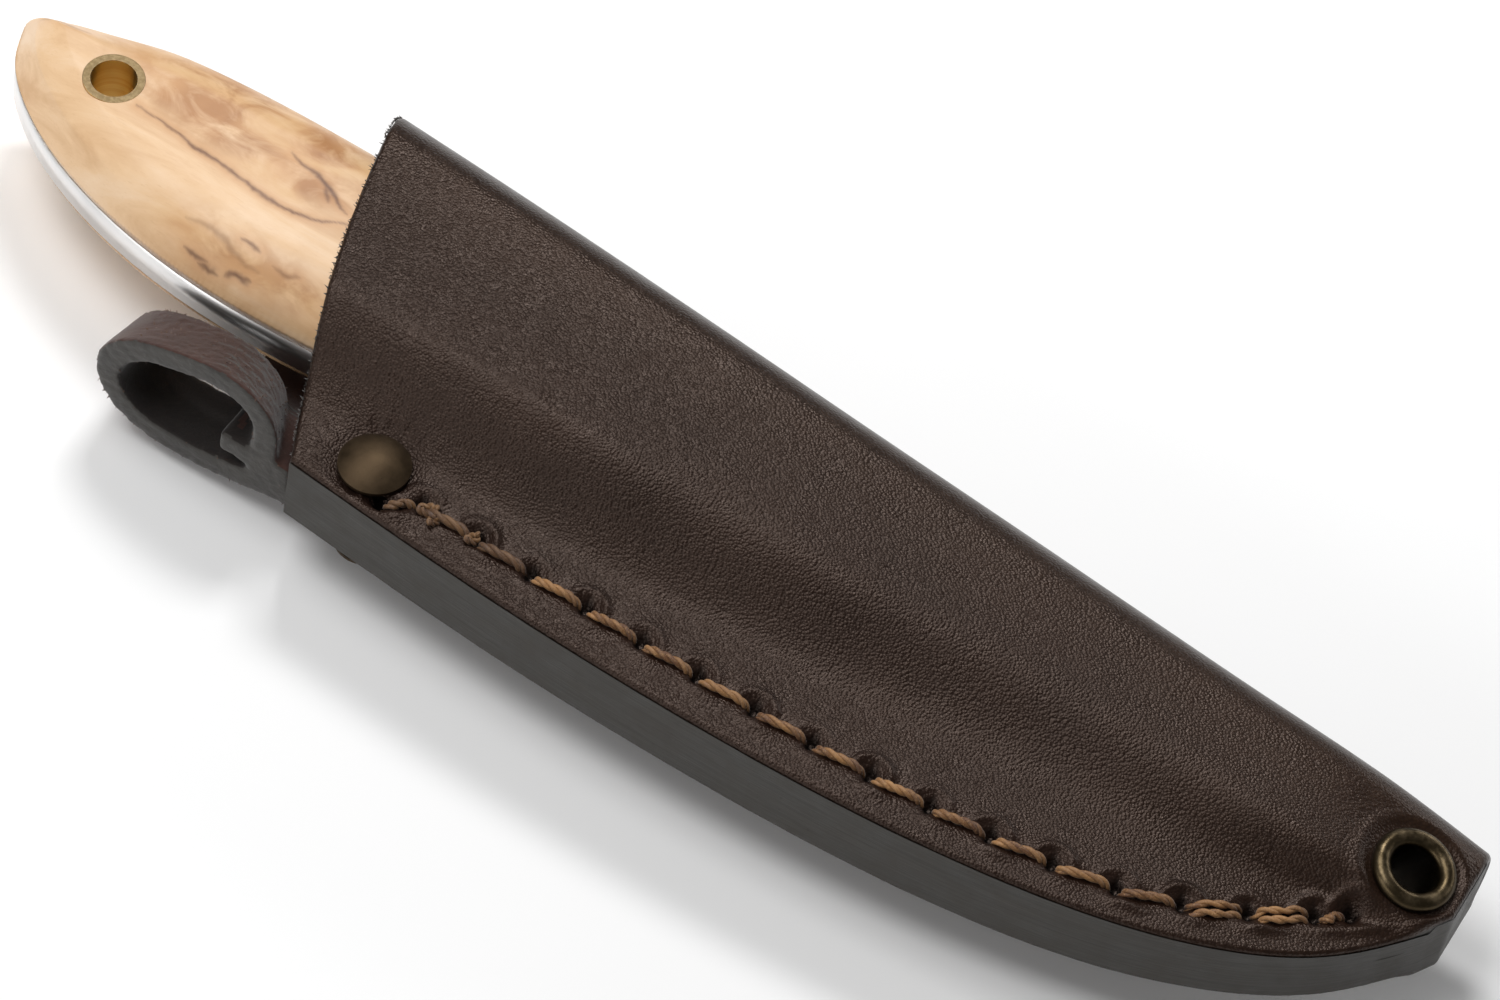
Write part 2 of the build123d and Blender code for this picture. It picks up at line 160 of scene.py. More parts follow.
def piece(name, points, faces, materials, body, face_materials=None):
    """Makes a smooth-shaded mesh object from millimetre points and hangs it on a body."""
    mesh = bpy.data.meshes.new(name)
    mesh.from_pydata(((np.asarray(points).reshape(-1, 3) + SHIFT) / 1000).tolist(), [], faces)
    for item in materials:
        mesh.materials.append(item)
    if face_materials is not None:
        mesh.polygons.foreach_set("material_index", face_materials)
    mesh.polygons.foreach_set("use_smooth", [True] * len(mesh.polygons))
    mesh.update()
    made = link(name, mesh)
    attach(made, body)
    return made


def grid_faces(rows, columns, first=0, flip=False):
    """Quads over a grid of points stored row by row."""
    index = first + np.arange(rows * columns).reshape(rows, columns)
    quads = np.stack([index[:-1, :-1], index[1:, :-1], index[1:, 1:], index[:-1, 1:]], -1).reshape(-1, 4)
    return (quads[:, ::-1] if flip else quads).tolist()


def strip_faces(upper, lower):
    """Quads that join two rows of point numbers."""
    return np.stack([upper[:-1], upper[1:], lower[1:], lower[:-1]], -1).tolist()


def paint(made, name, colours):
    """Stores a colour for each vertex, for the materials to read."""
    layer = made.data.color_attributes.new(name, "FLOAT_COLOR", "POINT")
    colours = np.concatenate([colours, np.ones((len(colours), 1))], 1)
    layer.data.foreach_set("color", colours.ravel().astype(np.float32))


def own_points(made):
    """Vertices of an object in the knife's frame, in millimetres."""
    flat = np.zeros(len(made.data.vertices) * 3)
    made.data.vertices.foreach_get("co", flat)
    return flat.reshape(-1, 3) * 1000 - SHIFT


# ---- node helpers ----
class Surface:
    """A Principled material with short calls for the nodes that this scene uses."""

    def __init__(self, name, **settings):
        self.material = bpy.data.materials.new(name)
        self.material.use_nodes = True
        self.tree = self.material.node_tree
        self.shader = self.tree.nodes["Principled BSDF"]
        for key, value in settings.items():
            self.shader.inputs[key.replace("_", " ").title().replace("Ior", "IOR")].default_value = value
        self.place = self.add("ShaderNodeTexCoord").outputs["Object"]
        self.normal = None

    def add(self, kind):
        return self.tree.nodes.new(kind)

    def feed(self, socket, value):
        if isinstance(value, bpy.types.NodeSocket):
            self.tree.links.new(value, socket)
        else:
            socket.default_value = value

    def stretched(self, scale, turn=(0, 0, 0)):
        """Object coordinates, turned and scaled (per metre)."""
        node = self.add("ShaderNodeMapping")
        self.feed(node.inputs["Vector"], self.place)
        node.inputs["Rotation"].default_value = turn
        node.inputs["Scale"].default_value = scale
        return node.outputs["Vector"]

    def noise(self, scale, detail=3.0, roughness=0.55, distortion=0.0, place=None):
        node = self.add("ShaderNodeTexNoise")
        self.feed(node.inputs["Vector"], place or self.place)
        node.inputs["Scale"].default_value = scale
        node.inputs["Detail"].default_value = detail
        node.inputs["Roughness"].default_value = roughness
        node.inputs["Distortion"].default_value = distortion
        return node.outputs["Fac"]

    def cells(self, scale, place=None):
        node = self.add("ShaderNodeTexVoronoi")
        self.feed(node.inputs["Vector"], place or self.place)
        node.inputs["Scale"].default_value = scale
        return node.outputs["Distance"]

    def math(self, operation, a, b=0.5):
        node = self.add("ShaderNodeMath")
        node.operation = operation
        self.feed(node.inputs[0], a)
        self.feed(node.inputs[1], b)
        return node.outputs[0]

    def span(self, value, low, high, to_low=0.0, to_high=1.0):
        node = self.add("ShaderNodeMapRange")
        self.feed(node.inputs["Value"], value)
        for key, number in (("From Min", low), ("From Max", high), ("To Min", to_low), ("To Max", to_high)):
            node.inputs[key].default_value = number
        return node.outputs["Result"]

    def mix(self, share, a, b):
        node = self.add("ShaderNodeMix")
        node.data_type = "RGBA"
        self.feed(node.inputs[0], share)
        self.feed(node.inputs[6], a if isinstance(a, bpy.types.NodeSocket) else (*a, 1.0))
        self.feed(node.inputs[7], b if isinstance(b, bpy.types.NodeSocket) else (*b, 1.0))
        return node.outputs[2]

    def ramp(self, value, stops):
        node = self.add("ShaderNodeValToRGB")
        elements = node.color_ramp.elements
        while len(elements) < len(stops):
            elements.new(0.5)
        for element, (place, colour) in zip(elements, stops):
            element.position = place
            element.color = (*colour, 1.0)
        self.feed(node.inputs["Fac"], value)
        return node.outputs["Color"]

    def blend(self, value, dark, light):
        """Dark to light over the middle of a noise."""
        return self.ramp(value, [(0.3, dark), (0.7, light)])

    def painted(self, name):
        """Red, green and blue of a painted layer."""
        node = self.add("ShaderNodeAttribute")
        node.attribute_name = name
        parts = self.add("ShaderNodeSeparateColor")
        self.feed(parts.inputs[0], node.outputs["Color"])
        return parts.outputs[0], parts.outputs[1], parts.outputs[2]

    def facing(self):
        """X, Y and Z of the surface's own direction."""
        parts = self.add("ShaderNodeSeparateXYZ")
        self.feed(parts.inputs[0], self.add("ShaderNodeNewGeometry").outputs["Normal"])
        return parts.outputs

    def bump(self, height, distance):
        """Adds relief, in millimetres for a height change of one."""
        node = self.add("ShaderNodeBump")
        node.inputs["Strength"].default_value = 1.0
        node.inputs["Distance"].default_value = distance / 1000
        self.feed(node.inputs["Height"], height)
        if self.normal is not None:
            self.feed(node.inputs["Normal"], self.normal)
        self.normal = node.outputs["Normal"]

    def finish(self, colour=None, roughness=None):
        if colour is not None:
            self.feed(self.shader.inputs["Base Color"], colour)
        if roughness is not None:
            self.feed(self.shader.inputs["Roughness"], roughness)
        if self.normal is not None:
            self.feed(self.shader.inputs["Normal"], self.normal)
        return self.material


# ---- materials ----
def grain_leather():
    s = Surface("grain_leather", specular_ior_level=0.31, specular_tint=(1.0, 0.76, 0.64, 1.0))
    fold, pressed, hole = s.painted("marks")
    broad = s.noise(55, 4, 0.6)
    mottle = s.noise(420, 4, 0.65)
    pebble = s.cells(3100, place=s.stretched((1, 1.15, 1)))
    fine = s.noise(6000, 2, 0.6)
    creases = s.noise(900, 3, 0.6, 0.6, s.stretched((0.5, 1.6, 1.0), (0, 0, 0.5)))
    colour = s.blend(broad, (0.0115, 0.0056, 0.0037), (0.0190, 0.0094, 0.0062))
    colour = s.mix(fold, colour, s.blend(mottle, (0.0165, 0.0080, 0.0043), (0.0275, 0.0132, 0.0065)))
    colour = s.mix(s.span(pebble, 0.15, 0.7, 0.0, 0.45), colour, (0.006, 0.0035, 0.003))
    colour = s.mix(pressed, colour, (0.016, 0.0065, 0.004))
    # Painted shade: near black in the mouths of the awl holes.
    colour = s.mix(hole, colour, (0.0015, 0.001, 0.001))
    rough = s.span(s.math("ADD", mottle, s.math("MULTIPLY", fold, -0.12)), 0.3, 0.7, 0.29, 0.41)
    smooth = s.span(s.math("ADD", fold, pressed), 0.0, 1.0, 1.0, 0.45)
    s.bump(creases, 0.014)
    s.bump(s.math("MULTIPLY", s.math("SUBTRACT", 1.0, pebble), smooth), 0.085)
    s.bump(s.math("MULTIPLY", fine, smooth), 0.028)
    return s.finish(colour, rough)


def burnished_edge():
    s = Surface("burnished_edge", specular_ior_level=0.4)
    layers = s.noise(1, 4, 0.6, 0.3, s.stretched((120, 120, 2600)))
    cloud = s.noise(260, 4, 0.6)
    pits = s.cells(620)
    colour = s.blend(layers, (0.019, 0.0170, 0.0138), (0.036, 0.0325, 0.027))
    colour = s.mix(s.span(cloud, 0.35, 0.75, 0.0, 0.5), colour, (0.040, 0.033, 0.026))
    colour = s.mix(s.span(pits, 0.05, 0.13, 0.6, 0.0), colour, (0.012, 0.009, 0.008))
    s.bump(layers, 0.06)
    s.bump(pits, 0.02)
    return s.finish(colour, s.span(cloud, 0.3, 0.7, 0.42, 0.6))


def flesh_leather(name, dark, light, fibre):
    s = Surface(name, specular_ior_level=0.25, sheen_weight=0.25, sheen_roughness=0.5)
    nap = s.noise(2300, 4, 0.75)
    cloud = s.noise(170, 4, 0.6)
    crumbs = s.noise(2600, 2, 0.6, 1.2)
    colour = s.mix(s.span(cloud, 0.3, 0.7), dark, light)
    colour = s.mix(s.span(nap, 0.45, 0.75, 0.0, 0.5), colour, (dark[0] * 0.4, dark[1] * 0.4, dark[2] * 0.4))
    colour = s.mix(s.span(crumbs, 0.72, 0.8, 0.0, 0.8), colour, fibre)
    s.bump(nap, 0.09)
    return s.finish(colour, s.span(cloud, 0.3, 0.7, 0.62, 0.85))


def birch():
    s = Surface("curly_birch", specular_ior_level=0.32, coat_weight=0.05, coat_roughness=0.25)
    streak_and_foot_shade, mottled, warm = s.painted("figure")
    along = s.stretched((30, 190, 190), (0, 0, 0.07))
    rings = s.noise(1, 5, 0.62, 0.8, along)
    fibre = s.noise(1, 3, 0.6, 0.0, s.stretched((260, 4200, 4200), (0, 0, 0.07)))
    curl = s.noise(1, 4, 0.6, 0.7, s.stretched((150, 250, 250), (0, 0, 0.25)))
    flame = s.noise(1, 3, 0.5, 1.0, s.stretched((95, 150, 150), (0, 0, -0.35)))
    pores = s.noise(1, 2, 0.5, 0.0, s.stretched((700, 6500, 6500), (0, 0, 0.07)))
    colour = s.ramp(rings, [(0.32, (0.62, 0.385, 0.205)), (0.5, (0.735, 0.500, 0.295)),
                            (0.68, (0.785, 0.575, 0.385))])
    colour = s.mix(s.math("MULTIPLY", mottled, 0.38), colour, (0.60, 0.345, 0.155))
    dark_figure_and_sunk_shade = s.span(s.math("MULTIPLY", s.span(curl, 0.36, 0.58), mottled), 0.0, 1.0, 0.0, 0.9)
    colour = s.mix(dark_figure_and_sunk_shade, colour, s.ramp(flame, [(0.35, (0.37, 0.165, 0.060)), (0.65, (0.60, 0.335, 0.150))]))
    glow = s.math("MULTIPLY", s.span(flame, 0.52, 0.72), mottled)
    colour = s.mix(s.math("MULTIPLY", glow, 0.55), colour, (0.72, 0.50, 0.27))
    colour = s.mix(s.math("MULTIPLY", warm, 0.75), colour, (0.56, 0.29, 0.125))
    # The first painted channel holds the dark streaks and the painted shade line at the foot.
    edge = s.math("MULTIPLY", streak_and_foot_shade, s.span(curl, 0.25, 0.55, 0.75, 1.0))
    colour = s.mix(edge, colour, (0.115, 0.042, 0.017))
    colour = s.mix(s.span(pores, 0.6, 0.75, 0.0, 0.16), colour, (0.42, 0.22, 0.11))
    s.bump(fibre, 0.012)
    s.bump(curl, 0.02)
    return s.finish(colour, s.span(curl, 0.3, 0.7, 0.34, 0.46))


def steel():
    s = Surface("satin_steel", metallic=1.0)
    lines = s.noise(1, 3, 0.6, 0.0, s.stretched((60, 2600, 2600)))
    cloud = s.noise(90, 3, 0.5)
    colour = s.blend(cloud, (0.68, 0.67, 0.665), (0.80, 0.79, 0.78))
    parts = s.add("ShaderNodeSeparateXYZ")
    s.feed(parts.inputs[0], s.place)
    level = s.span(parts.outputs[2], (SHIFT[2] - 2) / 1000, (SHIFT[2] + 2) / 1000, -1.0, 1.0)
    s.bump(s.math("SUBTRACT", 1.0, s.math("POWER", s.math("ABSOLUTE", level), 2.0)), 0.75)
    s.bump(lines, 0.005)
    return s.finish(colour, s.span(lines, 0.3, 0.7, 0.30, 0.42))


def brass_tube():
    s = Surface("ground_brass", metallic=1.0)
    up = s.math("ABSOLUTE", s.facing()[2])
    face = s.span(up, 0.55, 0.8)
    speck = s.noise(2400, 3, 0.7)
    rings = s.noise(1, 3, 0.6, 0.0, s.stretched((60, 60, 1800)))
    dull = s.mix(s.span(speck, 0.4, 0.7), (0.165, 0.118, 0.060), (0.255, 0.190, 0.105))
    bright = s.mix(s.span(rings, 0.3, 0.7), (0.86, 0.62, 0.28), (1.0, 0.84, 0.50))
    s.bump(rings, 0.03)
    s.bump(speck, 0.01)
    return s.finish(s.mix(face, bright, dull), s.span(face, 0.0, 1.0, 0.28, 0.5))


def antique_brass():
    s = Surface("antique_brass", metallic=1.0)
    speck = s.noise(2600, 4, 0.75)
    cloud = s.noise(420, 4, 0.6)
    pits = s.cells(1500)
    colour = s.blend(cloud, (0.046, 0.031, 0.018), (0.076, 0.052, 0.031))
    colour = s.mix(s.span(speck, 0.52, 0.72, 0.0, 0.6), colour, (0.05, 0.036, 0.02))
    colour = s.mix(s.span(pits, 0.05, 0.14, 0.8, 0.0), colour, (0.03, 0.02, 0.012))
    s.bump(speck, 0.012)
    return s.finish(colour, s.span(cloud, 0.3, 0.7, 0.46, 0.6))


def eyelet_brass():
    s = Surface("eyelet_brass", metallic=1.0)
    up = s.math("ABSOLUTE", s.facing()[2])
    cloud = s.noise(520, 4, 0.65)
    speck = s.noise(2600, 3, 0.7)
    worn = s.math("MULTIPLY", s.span(cloud, 0.45, 0.65), s.span(up, 0.55, 0.9))
    colour = s.mix(worn, (0.060, 0.044, 0.024), (0.165, 0.125, 0.074))
    # Painted shade: faces that turn sideways, down the eyelet's bore, are darkened.
    colour = s.mix(s.span(up, 0.0, 0.35, 0.9, 0.0), colour, (0.022, 0.017, 0.012))
    colour = s.mix(s.span(speck, 0.55, 0.75, 0.0, 0.5), colour, (0.04, 0.03, 0.018))
    s.bump(speck, 0.012)
    return s.finish(colour, s.span(cloud, 0.3, 0.7, 0.28, 0.42))


def waxed_thread():
    s = Surface("waxed_thread", specular_ior_level=0.45, sheen_weight=0.15)
    shade, dark_figure_and_sunk_shade, _ = s.painted("thread")
    fibre = s.noise(4200, 3, 0.7)
    colour = s.mix(shade, (0.105, 0.040, 0.012), (0.33, 0.165, 0.058))
    colour = s.mix(s.span(fibre, 0.5, 0.75, 0.0, 0.5), colour, (0.60, 0.36, 0.16))
    # Painted shade: darker where the thread sinks into the awl holes and over the half that dips towards the
    # next hole; the first three front stitches and the knots are darkened by half or more all along.
    colour = s.mix(dark_figure_and_sunk_shade, colour, (0.03, 0.013, 0.006))
    s.bump(fibre, 0.06)
    return s.finish(colour, s.span(fibre, 0.3, 0.7, 0.42, 0.62))


# Near-black colour that paints the shade down inside the awl holes.
def painted_hole_shade():
    s = Surface("awl_hole_shade", specular_ior_level=0.02)
    shade = s.noise(1800, 3, 0.6)
    s.bump(shade, 0.1)
    colour = s.mix(shade, (0.0006, 0.0005, 0.0005), (0.003, 0.002, 0.0015))
    return s.finish(colour, s.span(shade, 0.3, 0.7, 0.85, 1.0))


GRAIN = grain_leather()
EDGE = burnished_edge()
# Flesh side inside the pouch: its own dark brown, made darker still as painted shade inside the mouth.
SHADED_LINING = flesh_leather("pouch_inside_shaded", (0.026, 0.012, 0.008), (0.045, 0.022, 0.014), (0.16, 0.10, 0.07))
RIM = flesh_leather("cut_edge", (0.022, 0.018, 0.015), (0.042, 0.034, 0.027), (0.16, 0.10, 0.065))
STRAP = flesh_leather("strap_flesh", (0.034, 0.0130, 0.0090), (0.056, 0.022, 0.015), (0.40, 0.27, 0.19))
STRAP_EDGE = flesh_leather("strap_edge", (0.026, 0.023, 0.020), (0.056, 0.051, 0.045), (0.20, 0.14, 0.10))
STRAP_GRAIN = flesh_leather("strap_inside", (0.010, 0.007, 0.006), (0.018, 0.012, 0.010), (0.03, 0.02, 0.015))
CRUMB = flesh_leather("loose_fibre", (0.060, 0.030, 0.020), (0.150, 0.085, 0.055), (0.36, 0.24, 0.17))
BIRCH = birch()
STEEL = steel()
TUBE = brass_tube()
BRASS = antique_brass()
ROLLED = eyelet_brass()
THREAD = waxed_thread()
HOLE_SHADE = painted_hole_shade()


# ---- pouch ----
seam_height = height_of(SEAM_EDGE)


def seam_y(x):
    """Stitched edge, a hair outside the welt."""
    return seam_height(x) - 0.1


def mouth_x(y):
    """The mouth is an arc of a circle through three points."""
    (ax, ay), (bx, by), (cx, cy) = MOUTH_ARC
    system = 2 * np.array([[bx - ax, by - ay], [cx - ax, cy - ay]])
    middle = np.linalg.solve(system, [bx ** 2 - ax ** 2 + by ** 2 - ay ** 2,
                                      cx ** 2 - ax ** 2 + cy ** 2 - ay ** 2])
    radius = math.hypot(ax - middle[0], ay - middle[1])
    side = 1 if bx > middle[0] else -1
    return middle[0] + side * np.sqrt(radius ** 2 - (y - middle[1]) ** 2)


def tip_x(y):
    """The cut at the tip, with its corner towards the stitched edge taken off."""
    return np.where(y > -4.0, 88.4 - 0.9 * (y + 4.0) / 26.0, 87.2 + 0.5 * (y + 6.4))


def rise(share):
    """Height share of the swell between the flat band and the crown, by sideways share, with a soft start."""
    share = np.clip(0.5 * (share + np.sqrt(share ** 2 + 0.04)) - 0.01 * share, 0, 1)
    t = share
    for _ in range(6):
        value = 1.26 * t * (1 - t) ** 2 + 1.74 * t ** 2 * (1 - t) + t ** 3
        slope = 1.26 * (1 - t) ** 2 + 0.96 * t * (1 - t) + 1.26 * t ** 2
        t = np.clip(t - (value - share) / slope, 0, 1)
    return t ** 2 * (3 - 2 * t)


def section(x):
    """The eight values of STATIONS at each x."""
    return spline(STATIONS[:, 0], STATIONS[:, 1:], x).T.reshape(8, *np.shape(x))


def pouch_yz(x, row, offset):
    """Section of the hide. Rows run from the front's stitched edge (0) over the fold (2) to the back's (4)."""
    fold, depth, front, back, front_rim, back_rim, start, end = section(x)
    behind = row > 2
    part = np.where(behind, 4 - row, row)
    top = np.where(behind, back, front) + offset
    rim = np.where(behind, back_rim, front_rim) + offset
    ridge = fold - depth
    edge = seam_y(x)
    y = edge + (ridge - edge) * np.clip(part, 0, 1)
    begin = start - 0.32 * offset
    finish = end - 0.32 * offset
    z = rim + (top - rim) * rise((y - begin) / (finish - begin))
    angle = np.clip(part - 1, 0, 1) * math.pi / 2
    y = np.where(part < 1, y, ridge + (depth + offset) * np.sin(angle))
    z = np.where(part < 1, z, top * np.cos(angle))
    return y, np.where(behind, -z, z)


def pouch_xyz(share, row, offset):
    """Point of the hide by its share of the way from mouth to tip."""
    x = -50 + 138 * share
    for _ in range(30):
        y, z = pouch_yz(x, row, offset)
        x = 0.5 * x + 0.5 * (mouth_x(y) + (tip_x(y) - mouth_x(y)) * share)
    y, z = pouch_yz(x, row, offset)
    return x, y, z


def front_height(x, y):
    """Height of the front's outer face."""
    _, _, front, _, rim, _, start, end = section(x)
    return rim + (front - rim) * rise((y - start) / (end - start))


def back_height(x, y):
    """Height of the back's outer face, below zero."""
    _, _, _, back, _, rim, start, end = section(x)
    return -(rim + (back - rim) * rise((y - start) / (end - start)))


def stitch_places():
    """The awl holes: evenly spread along the seam, with one more at each end."""
    line = smooth_line(STITCH_LINE, 1000)
    lengths = np.concatenate([[0], np.cumsum(np.linalg.norm(np.diff(line, axis=0), axis=1))])
    places = np.linspace(0, lengths[-1], STITCH_COUNT + 1)
    run = np.stack([np.interp(places, lengths, line[:, 0]), np.interp(places, lengths, line[:, 1])], -1)
    return np.concatenate([[(-30.2, -27.6)], run, [(79.4, -10.4)]])


HOLES = stitch_places()


def dents(x, y, z, front):
    """How far the hide's outer face is pressed in (negative) or stands up around stitches, rivet and eyelet,
    with the share pressed smooth and the painted shade in the mouth of each awl hole.
    """
    out = 0.10 * bumps(x, y, z, 16.0, 1.7) + 0.05 * bumps(x, y, z, 6.0, 4.1)
    gap, _ = distance_to(HOLES, x, y)
    out = out - 0.28 * np.exp(-(gap / 0.75) ** 2)
    pressed = 0.55 * np.exp(-(gap / 1.6) ** 2)
    pit_shade = np.zeros(np.shape(x))
    for i, (hx, hy) in enumerate(HOLES):
        near = HOLES[min(i + 1, len(HOLES) - 1)] - HOLES[max(i - 1, 0)]
        near = near / np.linalg.norm(near)
        along = (x - hx) * near[0] + (y - hy) * near[1]
        across = -(x - hx) * near[1] + (y - hy) * near[0]
        round_gap = np.hypot(along, across)
        diamond = np.abs(along) / 1.05 + np.abs(across - 0.15) / 1.2
        # pit_shade: painted near-black shade in the diamond mouth of each awl hole.
        pit_shade = np.maximum(pit_shade, np.clip(2.2 - 1.5 * diamond, 0, 1))
        out = out - 1.0 * np.clip(1.25 - diamond, 0, 1)
        wobble = 1 + 0.5 * math.sin(3.7 * i)
        out = out - 0.22 * np.exp(-(np.hypot(along * 0.8, across) / 1.2) ** 2)
        crescent = np.exp(-((round_gap - 2.2) / 0.42) ** 2) * np.clip(across, 0, 1)
        groove = np.exp(-((round_gap - 1.45) / 0.25) ** 2)
        out = out + 0.34 * wobble * crescent - 0.16 * groove * np.clip(across, 0, 1)
        blister = np.exp(-((along - 1.2) / 1.9) ** 2 - ((across + 1.75) / 0.65) ** 2)
        out = out + 0.38 * blister * (1 + 0.4 * math.cos(2.9 * i))
    rivet_gap = np.hypot(x - RIVET[0], y - RIVET[1])
    out = out - 0.45 * np.exp(-(np.clip(rivet_gap - 3.6, 0, None) / 1.5) ** 2)
    spokes = np.sin(17 * np.arctan2(y - RIVET[1], x - RIVET[0]) + 0.8 * bumps(x, y, z, 2.0, 9.0))
    out = out + 0.07 * spokes * np.exp(-((rivet_gap - 5.4) / 1.3) ** 2)
    if front:
        out = out - 0.4 * np.exp(-((x + 1) / 8.0) ** 2 - ((y + 11.5) / 3.2) ** 2)
        seat = EYELET[2] - math.tan(EYELET_TILT) * (x - EYELET[0]) - 0.1
        eye_gap = np.hypot((x - EYELET[0]) * math.cos(EYELET_TILT), y - EYELET[1])
        out = out + 0.22 * np.exp(-((eye_gap - 6.0) / 0.7) ** 2)
        level = np.where(eye_gap < 5.0, 1.0, np.exp(-((eye_gap - 5.0) / 0.5) ** 2))
        out = np.where(level > 0.01, np.minimum(out, out * (1 - level) + level * (seat - z)), out)
    return out, np.clip(pressed, 0, 1), pit_shade


def make_pouch():
    """The hide as one sheet, with its pressed marks, rounded cut edges and eyelet bore."""
    near = np.array([0, 0.06, 0.18, 0.34, 0.55, 0.85]) / 34.0
    front_rows = np.concatenate([near, np.arange(0.036, 0.325, 0.0105), np.linspace(0.33, 1.0, 38)])
    half = np.concatenate([front_rows, 1 + np.linspace(0, 1, 17)[1:]])
    rows = np.concatenate([half, 4 - half[-2::-1]])
    ends = np.array([0, 0.05, 0.15, 0.3, 0.5, 0.8]) / 140.0
    middle = np.linspace(1.2, 138.8, 330) / 140.0
    columns = np.concatenate([ends, middle, 1 - ends[::-1]])
    row, share = np.meshgrid(rows, columns, indexing="ij")
    flat_x, flat_y, flat_z = pouch_xyz(share, row, np.zeros(row.shape))
    dented = np.zeros(row.shape)
    pressed = np.zeros(row.shape)
    pit_shade = np.zeros(row.shape)
    for front, chosen in ((True, row <= 2), (False, row > 2)):
        change, press, hole = dents(flat_x[chosen], flat_y[chosen], flat_z[chosen], front)
        swell = np.clip(1.6 - np.where(front, row[chosen], 4 - row[chosen]), 0, 1)
        dented[chosen] = change * swell
        pressed[chosen] = press * swell
        pit_shade[chosen] = hole * swell
    part = np.minimum(row, 4 - row)
    edge_gap = np.where(part < 1, flat_y - seam_y(flat_x), 9.0)
    mouth_gap = flat_x - mouth_x(flat_y)
    tip_gap = tip_x(flat_y) - flat_x
    gap = np.minimum(np.minimum(edge_gap, mouth_gap), tip_gap)
    radius = 0.6
    close = np.clip(gap, 0, radius)
    drop = radius - np.sqrt(np.clip(radius ** 2 - (radius - close) ** 2, 0, None))
    fray = 0.05 * bumps(flat_x, flat_y, flat_z, 0.9, 6.0)
    offset = dented * np.clip(gap / 1.2, 0, 1) - drop
    outer = np.stack(pouch_xyz(share, row, offset), -1)
    outer[..., 0] += np.where(mouth_gap < 0.8, fray * 1.5, 0)
    inner_drop = np.where(mouth_gap < 0.4, 0.3, 0.0)
    inner = np.stack(pouch_xyz(share, row, -LEATHER + inner_drop), -1)
    count = row.size
    height, width = row.shape
    faces = grid_faces(height, width, 0, True) + grid_faces(height, width, count)
    kinds = [0] * ((height - 1) * (width - 1)) + [2] * ((height - 1) * (width - 1))
    number = np.arange(count).reshape(height, width)
    for line, kind in ((number[:, 0], 3), (number[::-1, -1], 3), (number[0, ::-1], 1), (number[-1], 1)):
        faces += strip_faces(line, line + count)
        kinds += [kind] * (len(line) - 1)
    points = np.concatenate([outer.reshape(-1, 3), inner.reshape(-1, 3)])
    axis_x = EYELET[0] + math.tan(EYELET_TILT) * (points[:, 2] - EYELET[2])
    bore = np.hypot((points[:, 0] - axis_x) * math.cos(EYELET_TILT), points[:, 1] - EYELET[1]) < 3.3
    kept = [i for i, face in enumerate(faces) if not bore[face].any()]
    faces = [faces[i] for i in kept]
    kinds = [kinds[i] for i in kept]
    made = piece("pouch", points, faces, [GRAIN, EDGE, SHADED_LINING, RIM], "sheath", kinds)
    warm = np.clip((part - 0.72) / 0.6, 0, 1) + 0.4 * np.clip((flat_x - 45) / 35, 0, 1)
    # Marks: warmth of the fold, pressed smoothness, and painted shade in the awl holes.
    colours = np.stack([np.clip(warm, 0, 1), pressed, pit_shade], -1).reshape(-1, 3)
    paint(made, "marks", np.concatenate([colours, np.zeros((count, 3))]))
    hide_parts("sheath_leather")


def make_edge_skin():
    """Burnished surface over the welt, flush with the cut edges of both panels and round the tip."""
    share = np.linspace(0, 1, 260)
    x, y, _ = pouch_xyz(share, np.zeros(260), np.zeros(260))
    _, _, _, _, front_rim, back_rim, _, _ = section(x)
    high = front_rim - 0.55
    low = -(back_rim - 0.55)
    tip_y = np.linspace(-6.1, 4.5, 24)
    tip_edge = tip_x(tip_y) + 0.07
    run_x, run_y = np.gradient(x), np.gradient(y)
    length = np.hypot(run_x, run_y)
    x = np.concatenate([x + 0.13 * run_y / length, tip_edge])
    y = np.concatenate([y - 0.13 * run_x / length, tip_y])
    high = np.concatenate([high, front_height(tip_edge, tip_y) - 0.7])
    low = np.concatenate([low, back_height(tip_edge, tip_y) + 0.7])
    level = np.linspace(0, 1, 30)[:, None]
    z = high * (1 - level) + low * level
    groove = 0.03 * np.exp(-((np.abs(z) - (5.0 - LEATHER)) / 0.12) ** 2)
    wave = groove + 0.03 * bumps(np.broadcast_to(x, z.shape), np.broadcast_to(y, z.shape), z, 3.0, 12.0)
    points = np.stack([np.broadcast_to(x, z.shape), y + wave, z], -1)
    piece("burnished_side", points, grid_faces(30, len(x)), [EDGE], "sheath")


# ---- stitches ----
def strand(path, side, radius, spread, turns, phase):
    """One ply of a twisted thread along a path that stays in an upright plane."""
    run = np.gradient(path, axis=0)
    run /= np.linalg.norm(run, axis=1)[:, None]
    lift = np.cross(run, side)
    length = np.concatenate([[0], np.cumsum(np.linalg.norm(np.diff(path, axis=0), axis=1))])
    turn = phase + 2 * math.pi * turns * length / length[-1]
    centre = path + spread * (np.cos(turn)[:, None] * side + np.sin(turn)[:, None] * lift)
    around = np.linspace(0, 2 * math.pi, PLY_SIDES + 1)[:-1]
    ring = np.cos(around)[None, :, None] * side + np.sin(around)[None, :, None] * lift[:, None]
    points = centre[:, None] + radius * ring
    index = np.arange(len(path) * PLY_SIDES).reshape(len(path), PLY_SIDES)
    index = np.concatenate([index, index[:, :1]], 1)
    quads = np.stack([index[:-1, :-1], index[1:, :-1], index[1:, 1:], index[:-1, 1:]], -1).reshape(-1, 4)
    return points.reshape(-1, 3), quads, length / length[-1]


